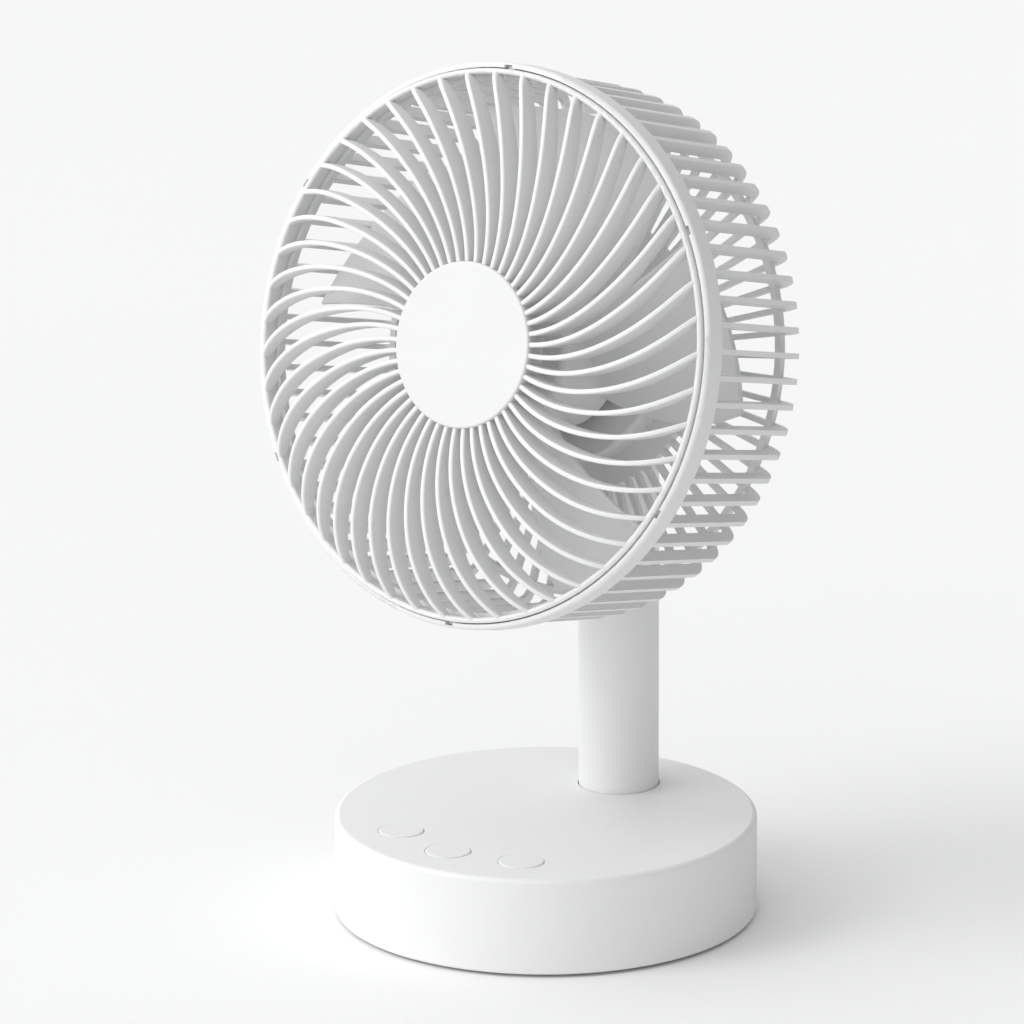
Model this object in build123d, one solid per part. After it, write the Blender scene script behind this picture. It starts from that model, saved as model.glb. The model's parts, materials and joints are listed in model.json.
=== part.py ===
from build123d import *
import math
import os

# Desk fan. Millimetres, +Z up, the front of the fan faces -Y.
# The origin is the centre of the underside of the foot pad.
# Head parts are drawn about the fan axis (local +Z forwards, +Y up, 0 at the cage seam) and then placed.

os.makedirs("parts", exist_ok=True)

# ---- base -------------------------------------------------------------------
BASE_R = 75.0
BASE_TOP = 36.0
BASE_LOW = 1.2
SHELL_WALL = 2.4
TOP_FILLET = 1.8
LOW_FILLET = 0.7
PLATE_R = 72.4
PLATE_TOP = 3.4
PAD_R = 69.8
CEILING = BASE_TOP - SHELL_WALL
BOSS_ANGLES = (25.0, 155.0, 205.0, 335.0)
BOSS_PITCH_R = 66.0
BOSS_R = 4.0
PILOT_R = 1.32
SCREW_R = 1.3
HEAD_R = 2.7
HEAD_H = 1.5

# ---- buttons ----------------------------------------------------------------
BUTTON_ANGLES = (240.5, 270.0, 299.5)
BUTTON_NAMES = ("button_power", "button_swing", "button_speed")
BUTTON_PITCH_R = 55.0
BUTTON_R = 8.0
BUTTON_GAP = 0.08
BUTTON_TOP = 36.25
BUTTON_LOW = 32.3
BUTTON_FLANGE_R = 9.2
BUTTON_FLANGE_TOP = 33.4

# ---- control board ----------------------------------------------------------
BOARD_IN = 40.0
BOARD_OUT = 68.0
BOARD_HALF_ANGLE = 54.0
BOARD_LOW = 27.2
BOARD_TOP = 28.8
BOARD_POSTS = ((-40.0, -40.0), (40.0, -40.0), (-14.0, -63.0), (14.0, -63.0))
POST_R = 3.0

# ---- stem and its bearing ---------------------------------------------------
STEM_Y = 42.1
STEM_R = 14.4
STEM_BORE = 12.6
STEM_LOW = 22.85
STEM_TOP = 172.0
BUSH_BORE = 14.46
BUSH_R = 17.5
BUSH_LOW = 20.0
BUSH_FLANGE_R = 28.5
BUSH_FLANGE_LOW = 24.0
BUSH_FLANGE_TOP = 26.5
BUSH_POST_R = 24.0
LEDGE_TOP = 22.0
LEDGE_BORE = 13.0
COLLAR_LOW = 17.6
COLLAR_FLANGE_TOP = 19.7
MOTOR_R = 14.0
MOTOR_TOP = 15.6
MOTOR_EAR_X = 17.5
SHAFT_R = 2.5
SHAFT_FLAT = 2.0
RUNNING_GAP = 0.06

# ---- tilt joint -------------------------------------------------------------
PIVOT_Z = 195.3
PIVOT_DEPTH = 81.1
REST_TILT = 14.0
SLOT_HALF = 6.6
SLOT_FLOOR = 177.0
FORK_DOME_R = 13.5
TONGUE_HALF = 5.6
TONGUE_R = 11.5
PIN_R = 3.0

# ---- head -------------------------------------------------------------------
RIM_OUT = 98.1
RIM_IN = 96.1
RIM_FRONT = 0.0
RIM_BACK = -7.9
LEDGE_IN = 92.2
FIN_COUNT = 66
FIN_START = 2.7
FIN_THICK = 1.9
FIN_FRONT_R = 96.4
FIN_BACK_R = 94.1
FIN_DEPTH = 4.4
FIN_BACK = -63.1
FIN_FLOOR = -60.5
FIN_CORNER = 7.5
FIN_INNER_CORNER = 4.0
REAR_RING_OUT = 85.8
REAR_RING_IN = 83.4
REAR_RING_FRONT = -59.0
HUB_R = 49.0
DRUM_R = 39.0
DRUM_IN = 36.6
HUB_PLATE_FRONT = -52.0
HUB_PLATE_BACK = -54.5
HOUSING_BACK = -65.0
ARM_SEAT = -62.6
ARM_FACE = -65.4
ARM_FLANGE_R = 16.0
TAB_COUNT = 6
TAB_START = 33.0
TAB_WIDTH = 2.9

# ---- front grille -----------------------------------------------------------
RIB_COUNT = 49
RIB_START = 2.28
RIB_THICK = 1.7
RIB_NOSE = 0.6
RIB_TURN = ((26.5, -0.2), (45.0, 1.65), (60.0, 6.28), (75.0, 11.6), (94.8, 20.2))
RIB_CREST = ((28.9, 9.2), (45.0, 11.1), (60.0, 11.8), (75.0, 10.7), (86.0, 7.6), (92.5, 3.9), (94.8, 1.5))
RIB_ROOT = ((94.8, -1.6), (75.0, 2.6), (60.0, 2.9), (45.0, 2.2), (27.2, 0.9))
GRILLE_R = 95.75
GRILLE_IN = 93.8
GRILLE_BACK = -4.4
GRILLE_FRONT = 1.6
CAP_R = 28.85
CAP_FRONT = 9.8
CAP_BACK = 7.7
HUB_SHELL_R = 28.4

# ---- motor and impeller -----------------------------------------------------
TUBE_OUT = 7.0
TUBE_IN = 5.0
STATOR_R = 21.5
MAGNET_IN = 21.9
MAGNET_OUT = 24.3
CAN_OUT = 25.5
TEETH = 9
HUB_CUP_R = 27.5
BLADE_COUNT = 5
BLADE_TIP_R = 84.0
BLADE_MID = 22.0
BLADE_THICK = 2.0
BLADE_STATIONS = (
    (19.0, 30.0, 47.0, 0.0), (40.0, 46.0, 36.0, 4.0), (64.0, 60.0, 28.0, 10.0), (90.0, 66.0, 23.0, 18.0),
)


def disc(radius, low, high):
    return Pos(0, 0, (low + high) / 2) * Cylinder(radius, high - low)


def ring(outer, inner, low, high):
    return disc(outer, low, high) - disc(inner, low, high)


def block(x0, x1, y0, y1, z0, z1):
    centre = Pos((x0 + x1) / 2, (y0 + y1) / 2, (z0 + z1) / 2)
    return centre * Box(x1 - x0, y1 - y0, z1 - z0)


def turned(points):
    outline = Polyline([(r, 0, z) for r, z in points], close=True)
    return revolve(make_face(outline), Axis.Z, 360)


def around(shape, angles):
    return [Rot(0, 0, angle) * shape for angle in angles]


def spaced(shape, count, start=0.0):
    return around(shape, [start + i * 360.0 / count for i in range(count)])


def on_circle(radius, angle):
    return radius * math.cos(math.radians(angle)), radius * math.sin(math.radians(angle))


def screw(length, shank_r=SCREW_R, head_r=HEAD_R, head_h=HEAD_H):
    """Pan-head screw, head above z = 0 and shank below it, with a cross recess."""
    body = disc(head_r, 0, head_h) + disc(shank_r, -length, 0)
    rim = body.edges().filter_by(GeomType.CIRCLE).group_by(Axis.Z)[-1]
    body = fillet(rim, head_h * 0.4)
    slot = block(-head_r * 0.6, head_r * 0.6, -0.3, 0.3, head_h * 0.4, head_h)
    return body - slot - Rot(0, 0, 90) * slot


def solids_of(shape):
    return list(shape.solids())


def save(name, *shapes):
    solids = [solid for shape in shapes for solid in solids_of(shape)]
    if len(solids) == 1:
        export_step(solids[0], f"parts/{name}.step")
    else:
        export_step(Compound(solids), f"parts/{name}.step")


tilt = math.radians(REST_TILT)
forward = (0, -math.cos(tilt), math.sin(tilt))
head_origin = (0, STEM_Y + PIVOT_DEPTH * forward[1], PIVOT_Z + PIVOT_DEPTH * forward[2])
HEAD = Plane(origin=head_origin, x_dir=(1, 0, 0), z_dir=forward).location
AT_STEM = Pos(0, STEM_Y, 0)


def save_head(name, *shapes):
    save(name, *[HEAD * solid for shape in shapes for solid in solids_of(shape)])


def save_motor(name, *shapes):
    """Motor pieces are drawn from the front face of the hub plate, forwards along the fan axis."""
    save_head(name, *[Pos(0, 0, HUB_PLATE_FRONT) * solid for shape in shapes for solid in solids_of(shape)])


# ---- base shell -------------------------------------------------------------
shell = disc(BASE_R, BASE_LOW, BASE_TOP)
shell = fillet(shell.edges().group_by(Axis.Z)[-1], TOP_FILLET)
shell = fillet(shell.edges().group_by(Axis.Z)[0], LOW_FILLET)
shell -= disc(BASE_R - SHELL_WALL, BASE_LOW, CEILING)
boss = disc(BOSS_R, PLATE_TOP, CEILING + 0.5)
shell_bosses = [Pos(*on_circle(BOSS_PITCH_R, a)) * boss for a in BOSS_ANGLES]
board_post = disc(POST_R, BOARD_TOP, CEILING + 0.5)
board_posts = [Pos(x, y) * board_post for x, y in BOARD_POSTS]
bush_post = disc(3.2, BUSH_FLANGE_TOP, CEILING + 0.5)
bush_places = [Pos(*on_circle(BUSH_POST_R, a)) for a in (90.0, 210.0, 330.0)]
bush_posts = [AT_STEM * place * bush_post for place in bush_places]
boss_webs = []
for angle in BOSS_ANGLES:
    web = block(BOSS_PITCH_R, BASE_R - 1.0, -0.8, 0.8, PLATE_TOP, CEILING + 0.5)
    boss_webs.append(Rot(0, 0, angle) * web)
shell = shell.fuse(*shell_bosses, *board_posts, *bush_posts, *boss_webs)
for angle in BOSS_ANGLES:
    shell -= Pos(*on_circle(BOSS_PITCH_R, angle)) * disc(PILOT_R, PLATE_TOP, PLATE_TOP + 12)
for x, y in BOARD_POSTS:
    shell -= Pos(x, y) * disc(PILOT_R, BOARD_TOP, CEILING)
for place in bush_places:
    shell -= AT_STEM * place * disc(PILOT_R, BUSH_FLANGE_TOP, CEILING)
button_hole = disc(BUTTON_R + BUTTON_GAP, CEILING - 1, BASE_TOP + 1)
button_lead_in = turned([
    (0, BASE_TOP - 0.4), (BUTTON_R + BUTTON_GAP, BASE_TOP - 0.4),
    (BUTTON_R + BUTTON_GAP + 0.45, BASE_TOP + 0.05), (0, BASE_TOP + 0.05),
])
for angle in BUTTON_ANGLES:
    shell -= Pos(*on_circle(BUTTON_PITCH_R, angle)) * (button_hole + button_lead_in)
shell -= AT_STEM * disc(STEM_R + 0.35, CEILING - 1, BASE_TOP + 1)
INLET_W = 9.4
INLET_H = 3.8
INLET_Z = 10.5
inlet_line = Pos(0, BASE_R - 1, INLET_Z) * Rot(90, 0, 0)
inlet_hole = inlet_line * extrude(SlotOverall(INLET_W, INLET_H), 5, both=True)
shell -= inlet_hole
save("base_shell", shell)

# ---- base plate, pad and ballast --------------------------------------------
plate = disc(PLATE_R, BASE_LOW, PLATE_TOP)
motor_post = disc(3.2, PLATE_TOP - 0.5, MOTOR_TOP - 1.0)
motor_posts = [AT_STEM * Pos(x, 0) * motor_post for x in (-MOTOR_EAR_X, MOTOR_EAR_X)]
INLET_BOARD_Z = INLET_Z - 1.6 - 1.2
INLET_POSTS = (-6.0, 6.0)
INLET_POST_Y = 61.5
inlet_posts = [Pos(x, INLET_POST_Y) * disc(2.4, PLATE_TOP - 0.5, INLET_BOARD_Z) for x in INLET_POSTS]
plate = plate.fuse(*motor_posts, *inlet_posts)
base_screw = Rot(180, 0, 0) * screw(10.0, head_h=1.2)
base_screws = []
for angle in BOSS_ANGLES:
    place = Pos(*on_circle(BOSS_PITCH_R, angle))
    plate -= place * disc(HEAD_R + 0.3, BASE_LOW, BASE_LOW + 1.2)
    plate -= place * disc(SCREW_R + 0.1, BASE_LOW, PLATE_TOP)
    base_screws.append(place * Pos(0, 0, BASE_LOW + 1.2) * base_screw)
for x in (-MOTOR_EAR_X, MOTOR_EAR_X):
    plate -= AT_STEM * Pos(x, 0) * disc(PILOT_R, MOTOR_TOP - 9.5, MOTOR_TOP - 1.0)
for x in INLET_POSTS:
    plate -= Pos(x, INLET_POST_Y) * disc(1.02, PLATE_TOP - 0.8, INLET_BOARD_Z)
BALLAST_R = 60.0
BALLAST_TOP = 9.4
BALLAST_SCREWS = ((-34.0, -16.0), (34.0, -16.0))
ballast = disc(BALLAST_R, PLATE_TOP, BALLAST_TOP)
ballast &= block(-BALLAST_R, BALLAST_R, -BALLAST_R, 6.0, PLATE_TOP, BALLAST_TOP)
vertical = ballast.edges().filter_by(Axis.Z)
ballast = fillet([edge for edge in vertical if edge.center().Y > 5.0], 5.0)
ballast_screws = []
for x, y in BALLAST_SCREWS:
    ballast -= Pos(x, y) * disc(SCREW_R + 0.1, PLATE_TOP, BALLAST_TOP)
    plate -= Pos(x, y) * disc(PILOT_R, BASE_LOW + 0.5, PLATE_TOP)
    ballast_screws.append(Pos(x, y, BALLAST_TOP) * screw(7.6))
save("base_plate", plate)
save("base_screws", *base_screws)
save("ballast_weight", ballast)
save("ballast_screws", *ballast_screws)
pad = disc(PAD_R, 0, BASE_LOW)
pad = chamfer(pad.edges().group_by(Axis.Z)[0], 0.3)
save("foot_pad", pad)

# ---- control board and its switches -----------------------------------------
board = ring(BOARD_OUT, BOARD_IN, BOARD_LOW, BOARD_TOP)
side_x, side_y = on_circle(140.0, BOARD_HALF_ANGLE - 90.0)
wedge = Polyline((0, 0), (side_x, side_y), (0, -240.0), (-side_x, side_y), close=True)
board &= Pos(0, 0, BOARD_LOW) * extrude(make_face(wedge), BOARD_TOP - BOARD_LOW)
board_screws = []
for x, y in BOARD_POSTS:
    board -= Pos(x, y) * disc(SCREW_R + 0.1, BOARD_LOW, BOARD_TOP)
    board_screws.append(Pos(x, y, BOARD_LOW) * Rot(180, 0, 0) * screw(5.6))
chips = [Pos(x, -50.0) * block(-3.5, 3.5, -3.5, 3.5, BOARD_LOW - 1.2, BOARD_LOW) for x in (-16.0, 16.0)]
board = board.fuse(*chips)
save("control_board", board)
save("board_screws", *board_screws)
switch = block(-3, 3, -3, 3, BOARD_TOP, BOARD_TOP + 2.4)
switch += disc(1.7, BOARD_TOP + 2.4, BOARD_TOP + 2.8)
save("tact_switches", *[Pos(*on_circle(BUTTON_PITCH_R, a)) * switch for a in BUTTON_ANGLES])

# ---- power inlet ------------------------------------------------------------
inlet_board = block(-9, 9, 58.5, 70.5, INLET_BOARD_Z, INLET_BOARD_Z + 1.2)
inlet_screws = []
for x in INLET_POSTS:
    inlet_board -= Pos(x, INLET_POST_Y) * disc(1.1, INLET_BOARD_Z, INLET_BOARD_Z + 1.2)
    inlet_screws.append(Pos(x, INLET_POST_Y, INLET_BOARD_Z + 1.2) * screw(4.6, 1.0, 1.9, 1.0))
save("inlet_board", inlet_board)
save("inlet_screws", *inlet_screws)
SOCKET_Y0 = 66.0
SOCKET_Y1 = 74.0
socket_line = Pos(0, SOCKET_Y1, INLET_Z) * Rot(90, 0, 0)
socket = socket_line * extrude(SlotOverall(9.0, 3.2), SOCKET_Y1 - SOCKET_Y0)
socket -= socket_line * extrude(SlotOverall(8.3, 2.5), SOCKET_Y1 - SOCKET_Y0 - 1.2)
tongue_mid = SOCKET_Y0 + 3.4
socket += block(-3.3, 3.3, SOCKET_Y0 + 1.0, tongue_mid + 2.6, INLET_Z - 0.35, INLET_Z + 0.35)
save("power_inlet", socket)

# ---- buttons ----------------------------------------------------------------
button = disc(BUTTON_R, BUTTON_LOW, BUTTON_TOP)
button = fillet(button.edges().group_by(Axis.Z)[-1], 0.45)
button += disc(BUTTON_FLANGE_R, BUTTON_LOW, BUTTON_FLANGE_TOP)
button -= ring(BUTTON_R - 1.2, 1.9, BUTTON_LOW, BUTTON_TOP - 1.7)
for name, angle in zip(BUTTON_NAMES, BUTTON_ANGLES):
    save(name, Pos(*on_circle(BUTTON_PITCH_R, angle)) * button)

# ---- swing motor and stem bearing -------------------------------------------
motor = disc(MOTOR_R, PLATE_TOP, MOTOR_TOP)
motor = fillet(motor.edges().group_by(Axis.Z)[-1], 0.8)
ear = extrude(SlotOverall(2 * MOTOR_EAR_X + 7.0, 7.0), 1.0)
motor += Pos(0, 0, MOTOR_TOP - 1.0) * ear
motor += disc(4.5, MOTOR_TOP - 0.5, MOTOR_TOP + 1.2)
motor -= disc(SHAFT_R + RUNNING_GAP, PLATE_TOP + 4.0, MOTOR_TOP + 2)
motor_screws = []
for x in (-MOTOR_EAR_X, MOTOR_EAR_X):
    motor -= Pos(x, 0) * disc(SCREW_R + 0.1, MOTOR_TOP - 2, MOTOR_TOP + 1)
    motor_screws.append(AT_STEM * Pos(x, 0, MOTOR_TOP) * screw(8.0))
save("swing_motor", AT_STEM * motor)
save("swing_motor_screws", *motor_screws)
d_cut = block(SHAFT_FLAT, 10, -10, 10, 16.9, 40)
swing_shaft = disc(SHAFT_R, PLATE_TOP + 4.3, 26.0) - d_cut
save("swing_shaft", AT_STEM * swing_shaft)
bush = turned([
    (LEDGE_BORE, BUSH_LOW), (BUSH_R, BUSH_LOW), (BUSH_R, BUSH_FLANGE_LOW), (BUSH_FLANGE_R, BUSH_FLANGE_LOW),
    (BUSH_FLANGE_R, BUSH_FLANGE_TOP), (BUSH_R, BUSH_FLANGE_TOP), (BUSH_R, CEILING), (BUSH_BORE, CEILING),
    (BUSH_BORE, LEDGE_TOP), (LEDGE_BORE, LEDGE_TOP),
])
bush_screws = []
for place in bush_places:
    bush -= place * disc(SCREW_R + 0.1, BUSH_FLANGE_LOW, BUSH_FLANGE_TOP)
    bush_screws.append(AT_STEM * place * Pos(0, 0, BUSH_FLANGE_LOW) * Rot(180, 0, 0) * screw(8.6))
save("stem_bush", AT_STEM * bush)
save("bush_screws", *bush_screws)
save("thrust_washer", AT_STEM * ring(STEM_R - 0.1, LEDGE_BORE, LEDGE_TOP, LEDGE_TOP + 0.8))

# ---- stem -------------------------------------------------------------------
save("stem_tube", AT_STEM * ring(STEM_R, STEM_BORE, STEM_LOW, STEM_TOP))
collar = disc(STEM_BORE, COLLAR_LOW, 36.0) + disc(BUSH_R, COLLAR_LOW, COLLAR_FLANGE_TOP)
collar -= disc(SHAFT_R + 0.02, COLLAR_LOW, 26.0) - block(SHAFT_FLAT + 0.02, 10, -10, 10, COLLAR_LOW, 40)
collar -= ring(STEM_BORE - 2.0, 5.0, 24.0, 36.0)
save("stem_collar", AT_STEM * collar)
fork = disc(STEM_R, STEM_TOP, PIVOT_Z + STEM_R)
dome = Pos(0, 0, PIVOT_Z) * Rot(0, 90, 0) * Cylinder(FORK_DOME_R, 4 * STEM_R)
fork &= dome + block(-STEM_R, STEM_R, -STEM_R, STEM_R, STEM_TOP, PIVOT_Z)
fork += disc(STEM_BORE, STEM_TOP - 14.0, STEM_TOP)
fork -= block(-SLOT_HALF, SLOT_HALF, -STEM_R, STEM_R, SLOT_FLOOR, PIVOT_Z + STEM_R)
fork -= disc(5.0, STEM_TOP - 14.0, SLOT_FLOOR)
PIN_LINE = Pos(0, 0, PIVOT_Z) * Rot(0, 90, 0)
SEAT_LEFT = -11.5
SEAT_RIGHT = 10.6
fork -= PIN_LINE * Cylinder(PIN_R + 0.02, 4 * STEM_R)
fork -= PIN_LINE * disc(4.8, -STEM_R, SEAT_LEFT)
fork -= PIN_LINE * disc(4.8, SEAT_RIGHT, STEM_R)
save("stem_yoke", AT_STEM * fork)
pin = PIN_LINE * (disc(PIN_R, SEAT_LEFT, 12.9) + disc(4.5, -13.1, SEAT_LEFT))
pin -= PIN_LINE * Pos(0, 0, -13.1) * extrude(RegularPolygon(2.0, 6), 1.2)
save("hinge_pin", AT_STEM * pin)
nut = PIN_LINE * Pos(0, 0, SEAT_RIGHT) * (extrude(RegularPolygon(4.5, 6), 2.2) - disc(PIN_R, 0, 2.2))
save("hinge_nut", AT_STEM * nut)
washer = ring(TONGUE_R - 1.0, PIN_R + 0.1, TONGUE_HALF + 0.05, SLOT_HALF)
washers = [AT_STEM * PIN_LINE * washer, AT_STEM * PIN_LINE * Rot(0, 180, 0) * washer]
save("friction_washers", *washers)

# ---- rear cage --------------------------------------------------------------
rim = turned([
    (RIM_IN, RIM_FRONT), (RIM_OUT, RIM_FRONT), (RIM_OUT, RIM_BACK), (LEDGE_IN, RIM_BACK), (LEDGE_IN, -4.6),
    (RIM_IN, -4.6),
])
front_edges = rim.edges().filter_by(GeomType.CIRCLE).group_by(Axis.Z)[-1].sort_by(SortBy.RADIUS)
rim = fillet(front_edges[-1], 1.5)
front_edges = rim.edges().filter_by(GeomType.CIRCLE).group_by(Axis.Z)[-1].sort_by(SortBy.RADIUS)
rim = fillet(front_edges[0], 0.3)
hub = turned([
    (0, HUB_PLATE_FRONT), (DRUM_R, HUB_PLATE_FRONT), (DRUM_R, FIN_FLOOR), (HUB_R, FIN_FLOOR),
    (HUB_R, FIN_BACK), (DRUM_IN, FIN_BACK), (DRUM_IN, HUB_PLATE_BACK), (0, HUB_PLATE_BACK),
])
drum_edge = hub.edges().filter_by(GeomType.CIRCLE).group_by(Axis.Z)[-1]
hub = fillet(drum_edge, 1.5)
rear_ring = ring(REAR_RING_OUT, REAR_RING_IN, FIN_FLOOR - 1.2, REAR_RING_FRONT)
fin_outline = Polyline(
    (FIN_FRONT_R, 0, RIM_BACK + 1.0), (FIN_BACK_R, 0, FIN_BACK), (HUB_R - 1.0, 0, FIN_BACK),
    (HUB_R - 1.0, 0, FIN_FLOOR), (FIN_BACK_R - FIN_DEPTH, 0, FIN_FLOOR),
    (FIN_FRONT_R - FIN_DEPTH, 0, RIM_BACK - 1.0), (LEDGE_IN + 0.6, 0, RIM_BACK + 1.0), close=True,
)
fin = extrude(make_face(fin_outline), FIN_THICK / 2, both=True)


def fin_corner_edges(body, radius, height):
    edges = body.edges().filter_by(Axis.Y)
    return [e for e in edges if abs(e.center().X - radius) < 0.1 and abs(e.center().Z - height) < 0.1]


fin = fillet(fin_corner_edges(fin, FIN_BACK_R, FIN_BACK), FIN_CORNER)
fin = fillet(fin_corner_edges(fin, FIN_BACK_R - FIN_DEPTH, FIN_FLOOR), FIN_INNER_CORNER)
fins = spaced(fin, FIN_COUNT, FIN_START)
HOUSING_SCREW_R = 32.5
HOUSING_SCREW_ANGLES = (45.0, 135.0, 225.0, 315.0)
MOUNT_SCREW_R = 18.0
MOUNT_ANGLES = (30.0, 150.0, 270.0)
DRIVER_SCREW_R = 30.0
DRIVER_ANGLES = (90.0, 210.0, 330.0)
DRIVER_FRONT = -58.6
DRIVER_BACK = -60.0
POST_ROOT = HUB_PLATE_BACK + 0.8
ARM_SCREWS = ((-10.0, -7.5), (10.0, -7.5), (-10.0, 7.5), (10.0, 7.5))
housing_post = disc(3.4, FIN_BACK, POST_ROOT)
housing_posts = [Pos(*on_circle(HOUSING_SCREW_R, a)) * housing_post for a in HOUSING_SCREW_ANGLES]
mount_post = disc(3.2, DRIVER_FRONT, POST_ROOT)
mount_posts = [Pos(*on_circle(MOUNT_SCREW_R, a)) * mount_post for a in MOUNT_ANGLES]
driver_post = disc(2.6, DRIVER_FRONT, POST_ROOT)
driver_posts = [Pos(*on_circle(DRIVER_SCREW_R, a)) * driver_post for a in DRIVER_ANGLES]
arm_posts = [Pos(x, y) * disc(2.8, ARM_SEAT, POST_ROOT) for x, y in ARM_SCREWS]
cage = rim.fuse(hub, rear_ring, *fins, *housing_posts, *mount_posts, *driver_posts, *arm_posts)
for angle in HOUSING_SCREW_ANGLES:
    cage -= Pos(*on_circle(HOUSING_SCREW_R, angle)) * disc(PILOT_R, FIN_BACK, -55.4)
for angle in MOUNT_ANGLES:
    cage -= Pos(*on_circle(MOUNT_SCREW_R, angle)) * disc(PILOT_R, DRIVER_FRONT + 0.8, HUB_PLATE_FRONT)
for angle in DRIVER_ANGLES:
    cage -= Pos(*on_circle(DRIVER_SCREW_R, angle)) * disc(1.02, DRIVER_FRONT, HUB_PLATE_BACK + 0.6)
for x, y in ARM_SCREWS:
    cage -= Pos(x, y) * disc(PILOT_R, ARM_SEAT, -55.4)
tab_notch = block(RIM_IN - 1.0, RIM_IN + 1.1, -TAB_WIDTH / 2 - 0.2, TAB_WIDTH / 2 + 0.2, -4.0, RIM_FRONT + 1)
for notch in spaced(tab_notch, TAB_COUNT, TAB_START):
    cage -= notch
save_head("rear_cage", cage)

# ---- motor cover, driver board and tilt arm ---------------------------------
cover = disc(HUB_R, HOUSING_BACK, FIN_BACK)
cover = fillet(cover.edges().group_by(Axis.Z)[0], 1.2)
cover += ring(DRUM_IN - 0.1, DRUM_IN - 1.7, FIN_BACK - 0.5, FIN_BACK + 2.4)
cover -= disc(ARM_FLANGE_R + 0.3, HOUSING_BACK, FIN_BACK)
cover_screw = Rot(180, 0, 0) * screw(7.6, SCREW_R, 2.4, 1.0)
cover_screws = []
for angle in HOUSING_SCREW_ANGLES:
    place = Pos(*on_circle(HOUSING_SCREW_R, angle))
    cover -= place * disc(2.7, HOUSING_BACK, HOUSING_BACK + 1.0)
    cover -= place * disc(SCREW_R + 0.1, HOUSING_BACK, FIN_BACK)
    cover -= place * disc(3.5, FIN_BACK, FIN_BACK + 3)
    cover_screws.append(place * Pos(0, 0, HOUSING_BACK + 1.0) * cover_screw)
vent_slot = block(22.0, 28.0, -0.8, 0.8, HOUSING_BACK, FIN_BACK)
for angle in (0.0, 15.0, 75.0, 90.0, 105.0, 165.0, 180.0, 195.0, 255.0, 270.0, 285.0, 345.0):
    cover -= Rot(0, 0, angle) * vent_slot
save_head("motor_housing", cover)
save_head("housing_screws", *cover_screws)
tongue = Pos(0, 0, -PIVOT_DEPTH) * Rot(0, 90, 0) * Cylinder(TONGUE_R, 2 * TONGUE_HALF)
arm = disc(ARM_FLANGE_R, ARM_FACE, ARM_SEAT)
arm = arm.fuse(tongue, block(-TONGUE_HALF, TONGUE_HALF, -9.0, 9.0, -PIVOT_DEPTH, ARM_FACE + 1.0))
arm -= Pos(0, 0, -PIVOT_DEPTH) * Rot(0, 90, 0) * Cylinder(PIN_R + RUNNING_GAP, 4 * TONGUE_HALF)
arm_screws = []
for x, y in ARM_SCREWS:
    arm -= Pos(x, y) * disc(HEAD_R + 0.2, ARM_FACE, ARM_FACE + 1.2)
    arm -= Pos(x, y) * disc(SCREW_R + 0.1, ARM_FACE, ARM_SEAT)
    arm_screws.append(Pos(x, y, ARM_FACE + 1.2) * Rot(180, 0, 0) * screw(8.0, head_h=1.2))
save_head("tilt_arm", arm)
save_head("arm_screws", *arm_screws)
driver_board = ring(35.2, 22.0, DRIVER_BACK, DRIVER_FRONT)
driver_screws = []
for angle in DRIVER_ANGLES:
    place = Pos(*on_circle(DRIVER_SCREW_R, angle))
    driver_board -= place * disc(1.1, DRIVER_BACK, DRIVER_FRONT)
    driver_screws.append(place * Pos(0, 0, DRIVER_BACK) * Rot(180, 0, 0) * screw(4.6, 1.0, 1.9, 1.0))
for angle in HOUSING_SCREW_ANGLES:
    driver_board -= Pos(*on_circle(HOUSING_SCREW_R, angle)) * disc(4.0, DRIVER_BACK, DRIVER_FRONT)
chip = block(24.0, 30.0, -3.0, 3.0, DRIVER_BACK - 1.2, DRIVER_BACK)
driver_board = driver_board.fuse(*around(chip, (0.0, 65.0, 115.0, 245.0)))
save_head("driver_board", driver_board)
save_head("driver_screws", *driver_screws)

# ---- motor ------------------------------------------------------------------
tube = ring(TUBE_OUT, TUBE_IN, 0, 23.5) + ring(23.0, TUBE_IN, 0, 2.4)
mount_screws = []
for angle in MOUNT_ANGLES:
    place = Pos(*on_circle(MOUNT_SCREW_R, angle))
    tube -= place * disc(SCREW_R + 0.1, 0, 2.4)
    mount_screws.append(place * Pos(0, 0, 2.4) * screw(7.6))
save_motor("bearing_tube", tube)
save_motor("mount_screws", *mount_screws)
bearing = turned([
    (SHAFT_R + RUNNING_GAP, -2.0), (3.3, -2.0), (3.3, -1.7), (4.3, -1.7), (4.3, -2.0), (TUBE_IN, -2.0),
    (TUBE_IN, 2.0), (4.3, 2.0), (4.3, 1.7), (3.3, 1.7), (3.3, 2.0), (SHAFT_R + RUNNING_GAP, 2.0),
])
save_motor("motor_bearings", Pos(0, 0, 5.0) * bearing, Pos(0, 0, 21.5) * bearing)
CORE_LOW = 9.0
CORE_HIGH = 19.0
tooth = block(9.0, 20.5, -1.6, 1.6, CORE_LOW, CORE_HIGH)
shoe = ring(STATOR_R, STATOR_R - 1.9, CORE_LOW, CORE_HIGH) & block(10, 30, -5.8, 5.8, CORE_LOW, CORE_HIGH)
yoke = ring(10.5, TUBE_OUT, CORE_LOW, CORE_HIGH)
save_motor("stator_core", yoke.fuse(*spaced(tooth, TEETH), *spaced(shoe, TEETH)))
coil = block(11.4, 19.2, -3.2, 3.2, CORE_LOW - 1.8, CORE_HIGH + 1.8)
coil = fillet(coil.edges().filter_by(Axis.X), 1.2)
coil -= block(11.0, 19.6, -1.6, 1.6, CORE_LOW, CORE_HIGH)
save_motor("stator_coils", *spaced(coil, TEETH))

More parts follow.
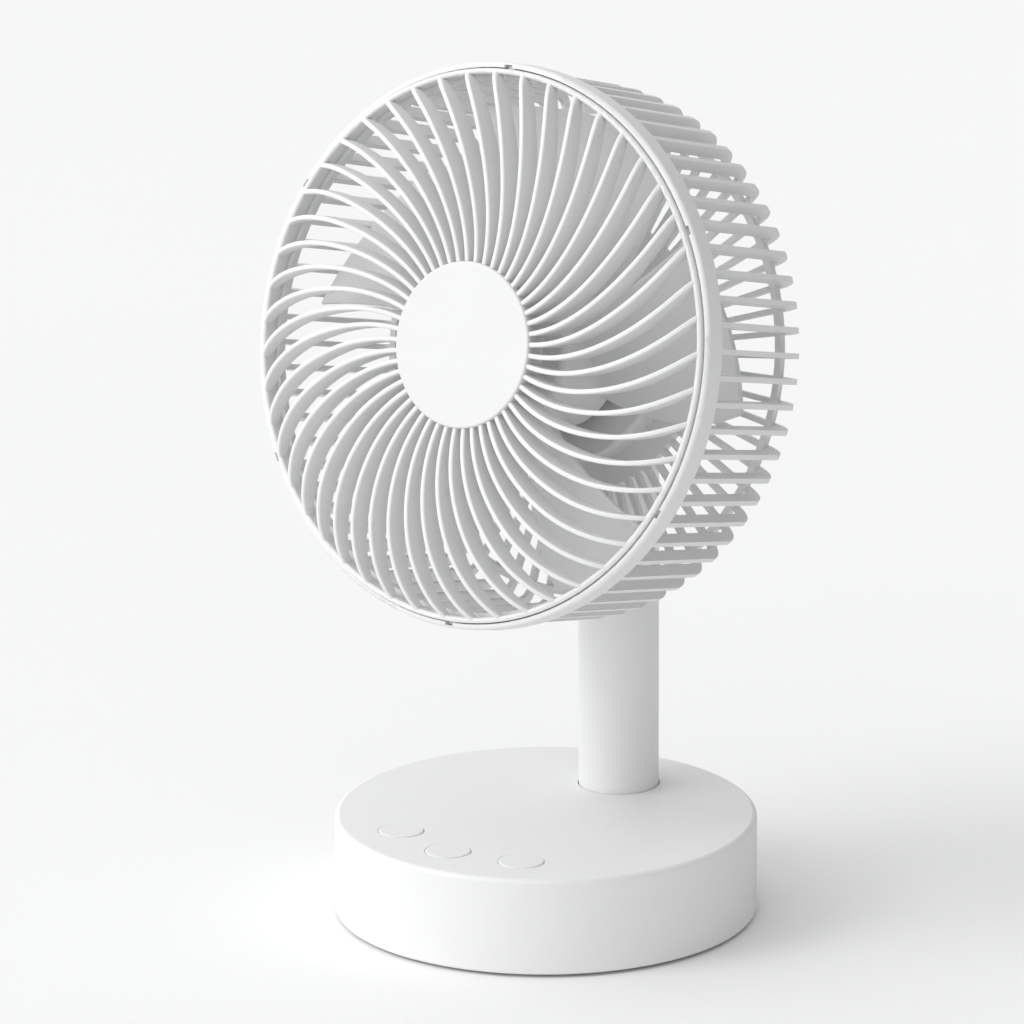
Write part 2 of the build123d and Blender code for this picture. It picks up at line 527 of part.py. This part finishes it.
# ---- rotor and impeller -----------------------------------------------------
save_motor("motor_shaft", disc(SHAFT_R, 2.8, 42.0))
can = turned([
    (SHAFT_R, 25.0), (4.9, 25.0), (4.9, 29.6), (MAGNET_OUT, 29.6), (MAGNET_OUT, 7.0), (CAN_OUT, 7.0),
    (CAN_OUT, 31.0), (SHAFT_R, 31.0),
])
can = fillet(can.edges().filter_by(GeomType.CIRCLE).group_by(Axis.Z)[-1].sort_by(SortBy.RADIUS)[-1], 1.5)
save_motor("rotor_can", can)
save_motor("rotor_magnet", ring(MAGNET_OUT, MAGNET_IN, 7.5, 22.0))
cup = turned([
    (SHAFT_R, 38.0), (HUB_CUP_R, 38.0), (HUB_CUP_R, 6.0), (CAN_OUT, 6.0), (CAN_OUT, 35.6),
    (6.5, 35.6), (6.5, 31.0), (SHAFT_R, 31.0),
])
cup = fillet(cup.edges().filter_by(GeomType.CIRCLE).group_by(Axis.Z)[-1].sort_by(SortBy.RADIUS)[-1], 3.0)
sections = []
for radius, chord, pitch, lean in BLADE_STATIONS:
    angle = math.radians(pitch)
    along = (0, math.cos(angle), math.sin(angle))
    station = Plane(origin=(radius, 0, BLADE_MID), x_dir=along, z_dir=(1, 0, 0))
    outline = station * RectangleRounded(chord, BLADE_THICK, BLADE_THICK * 0.45)
    sections.append(Rot(0, 0, lean) * outline)
blade = loft(sections)
blade &= disc(BLADE_TIP_R, -10, 60)
blade -= disc(CAN_OUT + 0.6, -10, 60)
impeller = cup.fuse(*spaced(blade, BLADE_COUNT))
save_motor("impeller", impeller)
spinner = disc(8.5, 38.0, 44.0)
spinner = fillet(spinner.edges().group_by(Axis.Z)[-1], 3.5)
spinner -= disc(SHAFT_R, 38.0, 42.0)
save_motor("impeller_nut", spinner)

# ---- front grille -----------------------------------------------------------
TURN_CURVE = [on_circle(radius, angle) for radius, angle in RIB_TURN]
centre_line = Spline(*TURN_CURVE)
STEPS = 12
left_side = []
right_side = []
for i in range(STEPS + 1):
    point = centre_line @ (i / STEPS)
    along = centre_line % (i / STEPS)
    across = Vector(-along.Y, along.X)
    left_side.append(point + across * (RIB_THICK / 2))
    right_side.append(point - across * (RIB_THICK / 2))
left_curve = Spline(*left_side)
right_curve = Spline(*right_side)
ends = [Line(left_side[0], right_side[0]), Line(left_side[-1], right_side[-1])]
ribbon_face = make_face([left_curve, right_curve] + ends)
ribbon = Pos(0, 0, -8) * extrude(ribbon_face, 24)
crest = Spline(*[(r, 0, z) for r, z in RIB_CREST])
root = Spline(*[(r, 0, z) for r, z in RIB_ROOT])
(root_r, root_z), (crest_r, crest_z) = RIB_ROOT[-1], RIB_CREST[0]
SHELL_FRONT = CAP_BACK - 0.1
step = Polyline(
    (root_r, 0, root_z), (root_r, 0, SHELL_FRONT), (crest_r, 0, SHELL_FRONT), (crest_r, 0, crest_z),
)
outer_line = Line((RIB_CREST[-1][0], 0, RIB_CREST[-1][1]), (RIB_ROOT[0][0], 0, RIB_ROOT[0][1]))
rib_domain = revolve(make_face([crest, outer_line, root] + list(step.edges())), Axis.Z, 360)
rib = solids_of(ribbon & rib_domain)[0]
crest_edges = []
for edge in rib.edges():
    middle = edge @ 0.5
    if edge.length > 50 and middle.Z > 4.0:
        crest_edges.append(edge)
rib = fillet(crest_edges, RIB_NOSE)
grille_ring = turned([
    (GRILLE_IN, GRILLE_BACK), (GRILLE_R, GRILLE_BACK), (GRILLE_R, GRILLE_FRONT), (GRILLE_IN, GRILLE_FRONT),
])
ring_tops = grille_ring.edges().filter_by(GeomType.CIRCLE).group_by(Axis.Z)[-1]
grille_ring = fillet(ring_tops, 0.9)
hub_shell = turned([
    (0, 4.8), (26.0, 4.8), (26.0, 0.6), (HUB_SHELL_R, 0.6), (HUB_SHELL_R, SHELL_FRONT), (0, SHELL_FRONT),
])
grille_tab = block(GRILLE_R - 1.0, RIM_IN + 0.9, -TAB_WIDTH / 2, TAB_WIDTH / 2, -3.6, -2.0)
tabs = spaced(grille_tab, TAB_COUNT, TAB_START)
grille = grille_ring.fuse(hub_shell, *spaced(rib, RIB_COUNT, RIB_START), *tabs)
CAP_PIN_R = 18.0
for x, y in [on_circle(CAP_PIN_R, a) for a in (90.0, 210.0, 330.0)]:
    grille -= Pos(x, y) * disc(2.02, 4.2, 8.2)
save_head("front_grille", grille)
cap = disc(CAP_R, CAP_BACK - 0.1, CAP_FRONT)
cap = fillet(cap.edges().group_by(Axis.Z)[-1], 0.8)
cap_pins = [Pos(*on_circle(CAP_PIN_R, a)) * disc(2.0, 4.8, CAP_BACK) for a in (90.0, 210.0, 330.0)]
save_head("grille_cap", cap.fuse(*cap_pins))
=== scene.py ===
import json
import math
import bpy
from mathutils import Matrix, Vector

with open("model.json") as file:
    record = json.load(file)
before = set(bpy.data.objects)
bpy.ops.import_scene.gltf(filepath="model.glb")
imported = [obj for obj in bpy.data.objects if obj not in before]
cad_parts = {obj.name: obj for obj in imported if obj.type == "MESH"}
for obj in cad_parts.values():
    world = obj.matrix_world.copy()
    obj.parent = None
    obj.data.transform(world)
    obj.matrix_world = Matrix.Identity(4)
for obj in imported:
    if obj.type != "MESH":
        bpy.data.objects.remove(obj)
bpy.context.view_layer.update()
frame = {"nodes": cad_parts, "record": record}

scene = bpy.context.scene
nodes = frame["nodes"]


# ---------------------------------------------------------------- materials
class Tree:
    """A material's node tree with short calls for the nodes used here."""

    def __init__(self, name):
        self.material = bpy.data.materials.new(name)
        self.material.use_nodes = True
        self.tree = self.material.node_tree
        self.shader = self.tree.nodes["Principled BSDF"]

    def add(self, kind, **values):
        """New node: a value whose name is an input's is set there, any other on the node."""
        node = self.tree.nodes.new(kind)
        for key, value in values.items():
            if key in node.inputs:
                node.inputs[key].default_value = value
            else:
                setattr(node, key, value)
        return node

    def link(self, source, target):
        self.tree.links.new(source, target)

    def coords(self):
        return self.add("ShaderNodeTexCoord").outputs["Object"]

    def noise(self, coords, scale, detail=3.0, rough=0.55):
        node = self.add("ShaderNodeTexNoise", Scale=scale, Detail=detail, Roughness=rough)
        self.link(coords, node.inputs["Vector"])
        return node.outputs["Fac"]

    def ramp(self, value, low, high, start=0.3, end=0.7):
        """low to high as value goes from start to end."""
        node = self.add("ShaderNodeMapRange")
        node.inputs["From Min"].default_value = start
        node.inputs["From Max"].default_value = end
        node.inputs["To Min"].default_value = low
        node.inputs["To Max"].default_value = high
        self.link(value, node.inputs["Value"])
        return node.outputs["Result"]

    def tint(self, value, dark, light):
        node = self.add("ShaderNodeMix", data_type="RGBA")
        node.inputs[6].default_value = (*dark, 1.0)
        node.inputs[7].default_value = (*light, 1.0)
        self.link(value, node.inputs[0])
        return node.outputs[2]

    def colour(self, source):
        self.link(source, self.shader.inputs["Base Color"])

    def roughness(self, source):
        self.link(source, self.shader.inputs["Roughness"])

    def bump(self, height, distance, strength=1.0):
        """distance is the relief's depth in metres."""
        node = self.add("ShaderNodeBump", Strength=strength, Distance=distance)
        self.link(height, node.inputs["Height"])
        self.link(node.outputs["Normal"], self.shader.inputs["Normal"])


MOTTLE_SCALE = 26.0
MOTTLE_SPREAD = 0.012
GLOSS_SCALE = 60.0
GRAIN_SCALE = 1400.0
GRAIN_DEPTH = 0.00002
PLASTIC_IOR = 1.49


def moulded(name, colour, rough=0.42):
    """Satin moulded plastic: fine spark grain, faint flow mottling and uneven gloss."""
    t = Tree(name)
    place = t.coords()
    dark = [max(c - MOTTLE_SPREAD, 0.0) for c in colour]
    light = [min(c + MOTTLE_SPREAD, 1.0) for c in colour]
    t.colour(t.tint(t.noise(place, MOTTLE_SCALE, 4.0), dark, light))
    t.roughness(t.ramp(t.noise(place, GLOSS_SCALE), rough - 0.04, rough + 0.05))
    t.bump(t.noise(place, GRAIN_SCALE, 2.0), GRAIN_DEPTH, 0.35)
    t.shader.inputs["IOR"].default_value = PLASTIC_IOR
    return t.material


MARK_SCALE = 220.0
MARK_DEPTH = 0.00002


def metal(name, colour, rough=0.32, stretch=40.0):
    """Plain or plated metal with fine tool marks, squeezed along the axis by stretch."""
    t = Tree(name)
    squeezed = t.add("ShaderNodeMapping")
    squeezed.inputs["Scale"].default_value = (1.0, 1.0, stretch)
    t.link(t.coords(), squeezed.inputs["Vector"])
    marks = t.noise(squeezed.outputs["Vector"], MARK_SCALE)
    t.colour(t.tint(marks, [c * 0.92 for c in colour], colour))
    t.roughness(t.ramp(marks, rough - 0.05, rough + 0.1))
    t.bump(marks, MARK_DEPTH, 0.3)
    t.shader.inputs["Metallic"].default_value = 1.0
    return t.material


def rubber(name, colour):
    """Matt rubber with a pebbled skin."""
    t = Tree(name)
    place = t.coords()
    t.colour(t.tint(t.noise(place, 90.0, 4.0), colour, [c * 1.35 for c in colour]))
    t.roughness(t.ramp(t.noise(place, 45.0), 0.72, 0.86))
    t.bump(t.noise(place, 900.0), 0.00004, 0.5)
    return t.material


def circuit(name, colour):
    """Solder mask over faint traces."""
    t = Tree(name)
    place = t.coords()
    cells = t.add("ShaderNodeTexVoronoi", Scale=260.0, feature="DISTANCE_TO_EDGE")
    t.link(place, cells.inputs["Vector"])
    traces = t.ramp(cells.outputs["Distance"], 1.0, 0.0, 0.02, 0.08)
    t.colour(t.tint(traces, colour, [c * 1.7 + 0.02 for c in colour]))
    t.roughness(t.ramp(t.noise(place, 70.0), 0.28, 0.4))
    t.bump(traces, 0.00003, 0.4)
    return t.material


# one look for each material slot of the record
WHITE = (0.765, 0.765, 0.765)
LOOKS = {
    "base_white": moulded("base_white", (0.785, 0.785, 0.785), 0.5),
    "button_white": moulded("button_white", (0.775, 0.775, 0.775), 0.46),
    "stem_white": moulded("stem_white", WHITE, 0.44),
    "joint_white": moulded("joint_white", WHITE, 0.46),
    "cage_white": moulded("cage_white", (0.745, 0.745, 0.745), 0.45),
    "grille_white": moulded("grille_white", WHITE, 0.44),
    "cap_white": moulded("cap_white", (0.71, 0.71, 0.71), 0.44),
    "impeller_white": moulded("impeller_white", (0.72, 0.72, 0.725), 0.4),
    "nut_grey": moulded("nut_grey", (0.7, 0.7, 0.7), 0.4),
    "pad_rubber": rubber("pad_rubber", (0.05, 0.05, 0.052)),
    "zinc_steel": metal("zinc_steel", (0.66, 0.66, 0.68), 0.3),
    "ballast_iron": metal("ballast_iron", (0.25, 0.25, 0.26), 0.55),
    "circuit_board": circuit("circuit_board", (0.02, 0.13, 0.06)),
    "switch_black": moulded("switch_black", (0.03, 0.03, 0.032), 0.5),
    "plated_steel": metal("plated_steel", (0.68, 0.68, 0.7), 0.34),
    "ground_steel": metal("ground_steel", (0.74, 0.74, 0.76), 0.18),
    "bearing_plastic": moulded("bearing_plastic", (0.74, 0.73, 0.68), 0.4),
    "tube_brass": metal("tube_brass", (0.63, 0.61, 0.57), 0.34),
    "core_steel": metal("core_steel", (0.4, 0.4, 0.41), 0.42, 400.0),
    "coil_copper": metal("coil_copper", (0.72, 0.32, 0.16), 0.3, 120.0),
    "magnet_iron": metal("magnet_iron", (0.14, 0.14, 0.15), 0.6),
}
for part in frame["record"]["subparts"]:
    obj = nodes[part["node"]]
    obj.data.materials.clear()
    obj.data.materials.append(LOOKS[part["material_slot"]])

# ---------------------------------------------------------------- floor
FLOOR_HALF = 6.0
FLOOR_DARK = (0.86, 0.86, 0.86)
FLOOR_LIGHT = (0.88, 0.88, 0.88)

corners = [(x * FLOOR_HALF, y * FLOOR_HALF, 0) for x, y in ((-1, -1), (1, -1), (1, 1), (-1, 1))]
floor_mesh = bpy.data.meshes.new("floor")
floor_mesh.from_pydata(corners, [], [(0, 1, 2, 3)])
floor = bpy.data.objects.new("floor", floor_mesh)
scene.collection.objects.link(floor)
paper = Tree("floor_paper")
paper.colour(paper.tint(paper.noise(paper.coords(), 3.0), FLOOR_DARK, FLOOR_LIGHT))
paper.shader.inputs["Roughness"].default_value = 0.9
paper.shader.inputs["Specular IOR Level"].default_value = 0.1
floor_mesh.materials.append(paper.material)

scene.view_settings.view_transform = "Standard"
scene.view_settings.look = "None"

# ---------------------------------------------------------------- camera
CAMERA_TURN = math.radians(38.722)
CAMERA_RISE = math.radians(16.353)
CAMERA_ROLL = math.radians(-0.241)
CAMERA_FAR = 2.70383
TARGET_SIDE = -0.01156
TARGET_UP = 0.14671
LENS = 270.905

back = Vector((
    math.sin(CAMERA_TURN) * math.cos(CAMERA_RISE),
    -math.cos(CAMERA_TURN) * math.cos(CAMERA_RISE),
    math.sin(CAMERA_RISE),
))
right = Vector((math.cos(CAMERA_TURN), math.sin(CAMERA_TURN), 0.0))
up = back.cross(right)
turned_right = right * math.cos(CAMERA_ROLL) + up * math.sin(CAMERA_ROLL)
turned_up = up * math.cos(CAMERA_ROLL) - right * math.sin(CAMERA_ROLL)
target = right * TARGET_SIDE + Vector((0, 0, TARGET_UP))
camera_data = bpy.data.cameras.new("camera")
camera_data.lens = LENS
camera_data.sensor_width = 36.0
camera_data.clip_end = 60.0
camera = bpy.data.objects.new("camera", camera_data)
scene.collection.objects.link(camera)
facing = Matrix((turned_right, turned_up, back)).transposed().to_4x4()
camera.matrix_world = Matrix.Translation(target + back * CAMERA_FAR) @ facing
scene.camera = camera

# ---------------------------------------------------------------- light
# white room, brighter on the camera's left, with one broad key from the same side
ROOM = 0.92
ROOM_SLOPE = 0.76
ROOM_COLOUR = (0.99, 0.995, 1.0, 1.0)
KEY_LEFT = math.radians(72.0)
KEY_RISE = math.radians(38.0)
KEY_ENERGY = 0.8
KEY_SPREAD = math.radians(28.0)

world = bpy.data.worlds.new("studio")
scene.world = world
world.use_nodes = True
room = world.node_tree.nodes
join = world.node_tree.links.new
background = room["Background"]
background.inputs["Color"].default_value = ROOM_COLOUR
direction = room.new("ShaderNodeTexCoord")
toward_left = room.new("ShaderNodeVectorMath")
toward_left.operation = "DOT_PRODUCT"
toward_left.inputs[1].default_value = -right
glow = room.new("ShaderNodeMapRange")
glow.inputs["From Min"].default_value = -1.0
glow.inputs["To Min"].default_value = ROOM * (1.0 - ROOM_SLOPE)
glow.inputs["To Max"].default_value = ROOM * (1.0 + ROOM_SLOPE)
join(direction.outputs["Generated"], toward_left.inputs[0])
join(toward_left.outputs["Value"], glow.inputs["Value"])
join(glow.outputs["Result"], background.inputs["Strength"])

flat_back = Vector((back.x, back.y, 0)).normalized()
toward_key = (flat_back * math.cos(KEY_LEFT) - right * math.sin(KEY_LEFT)) * math.cos(KEY_RISE)
toward_key += Vector((0, 0, math.sin(KEY_RISE)))
key_data = bpy.data.lights.new("key", "SUN")
key_data.energy = KEY_ENERGY
key_data.angle = KEY_SPREAD
key = bpy.data.objects.new("key", key_data)
scene.collection.objects.link(key)
key.rotation_euler = toward_key.to_track_quat("Z", "Y").to_euler()
